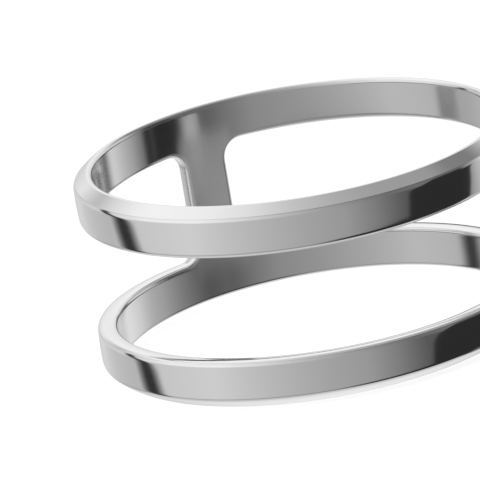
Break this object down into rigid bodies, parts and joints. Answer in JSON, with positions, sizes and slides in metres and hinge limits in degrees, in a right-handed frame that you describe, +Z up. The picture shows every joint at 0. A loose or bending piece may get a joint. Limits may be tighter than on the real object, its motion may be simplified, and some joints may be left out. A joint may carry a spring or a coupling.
{
  "type": "open double band ring",
  "caption": "Polished silver finger ring: parallel tapered bands with bevelled outer rims, an open slot between them, and an upright bar that joins them at the back.",
  "frame": {"origin": "centre of the finger hole, level with the lowest point of the lower rim, so the ring lies on its side on z = 0", "axes": "+Z up along the finger hole; +Y towards the bar that joins the bands; the bands are narrowest 51 degrees from +Y towards +X"},
  "size_m": [0.019, 0.019, 0.0089],
  "materials": {
    "polished_silver": "mirror polished silver, neutral grey, with very fine polishing lines"
  },
  "bodies": {
    "root": {"double_band": "polished_silver"}
  },
  "joints": []
}
